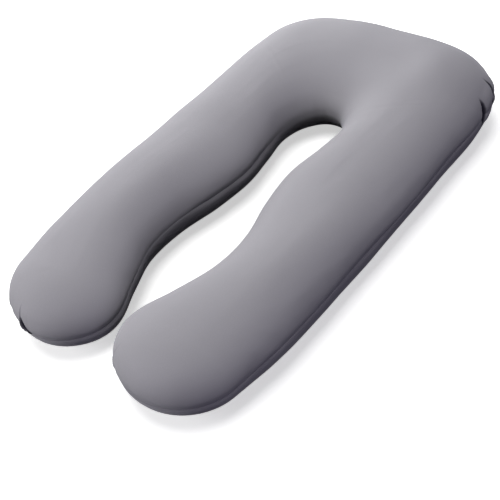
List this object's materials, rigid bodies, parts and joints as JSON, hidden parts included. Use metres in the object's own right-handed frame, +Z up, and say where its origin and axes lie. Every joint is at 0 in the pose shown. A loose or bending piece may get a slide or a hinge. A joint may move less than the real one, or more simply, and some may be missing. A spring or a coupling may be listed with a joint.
{
  "type": "pregnancy pillow",
  "caption": "Full-length U-shaped pregnancy pillow: two long stuffed arms joined by a deep head end, with one seam round its edge.",
  "frame": {"origin": "middle of the base, on the surface that the pillow lies on", "axes": "+X across the pillow, +Y from the feet to the head end, +Z up from the base through the crown"},
  "size_m": [0.774, 1.4, 0.202],
  "materials": {
    "pillow": "smooth matt stretch knit, grey"
  },
  "bodies": {
    "root": {"pillow": "pillow"}
  },
  "joints": []
}
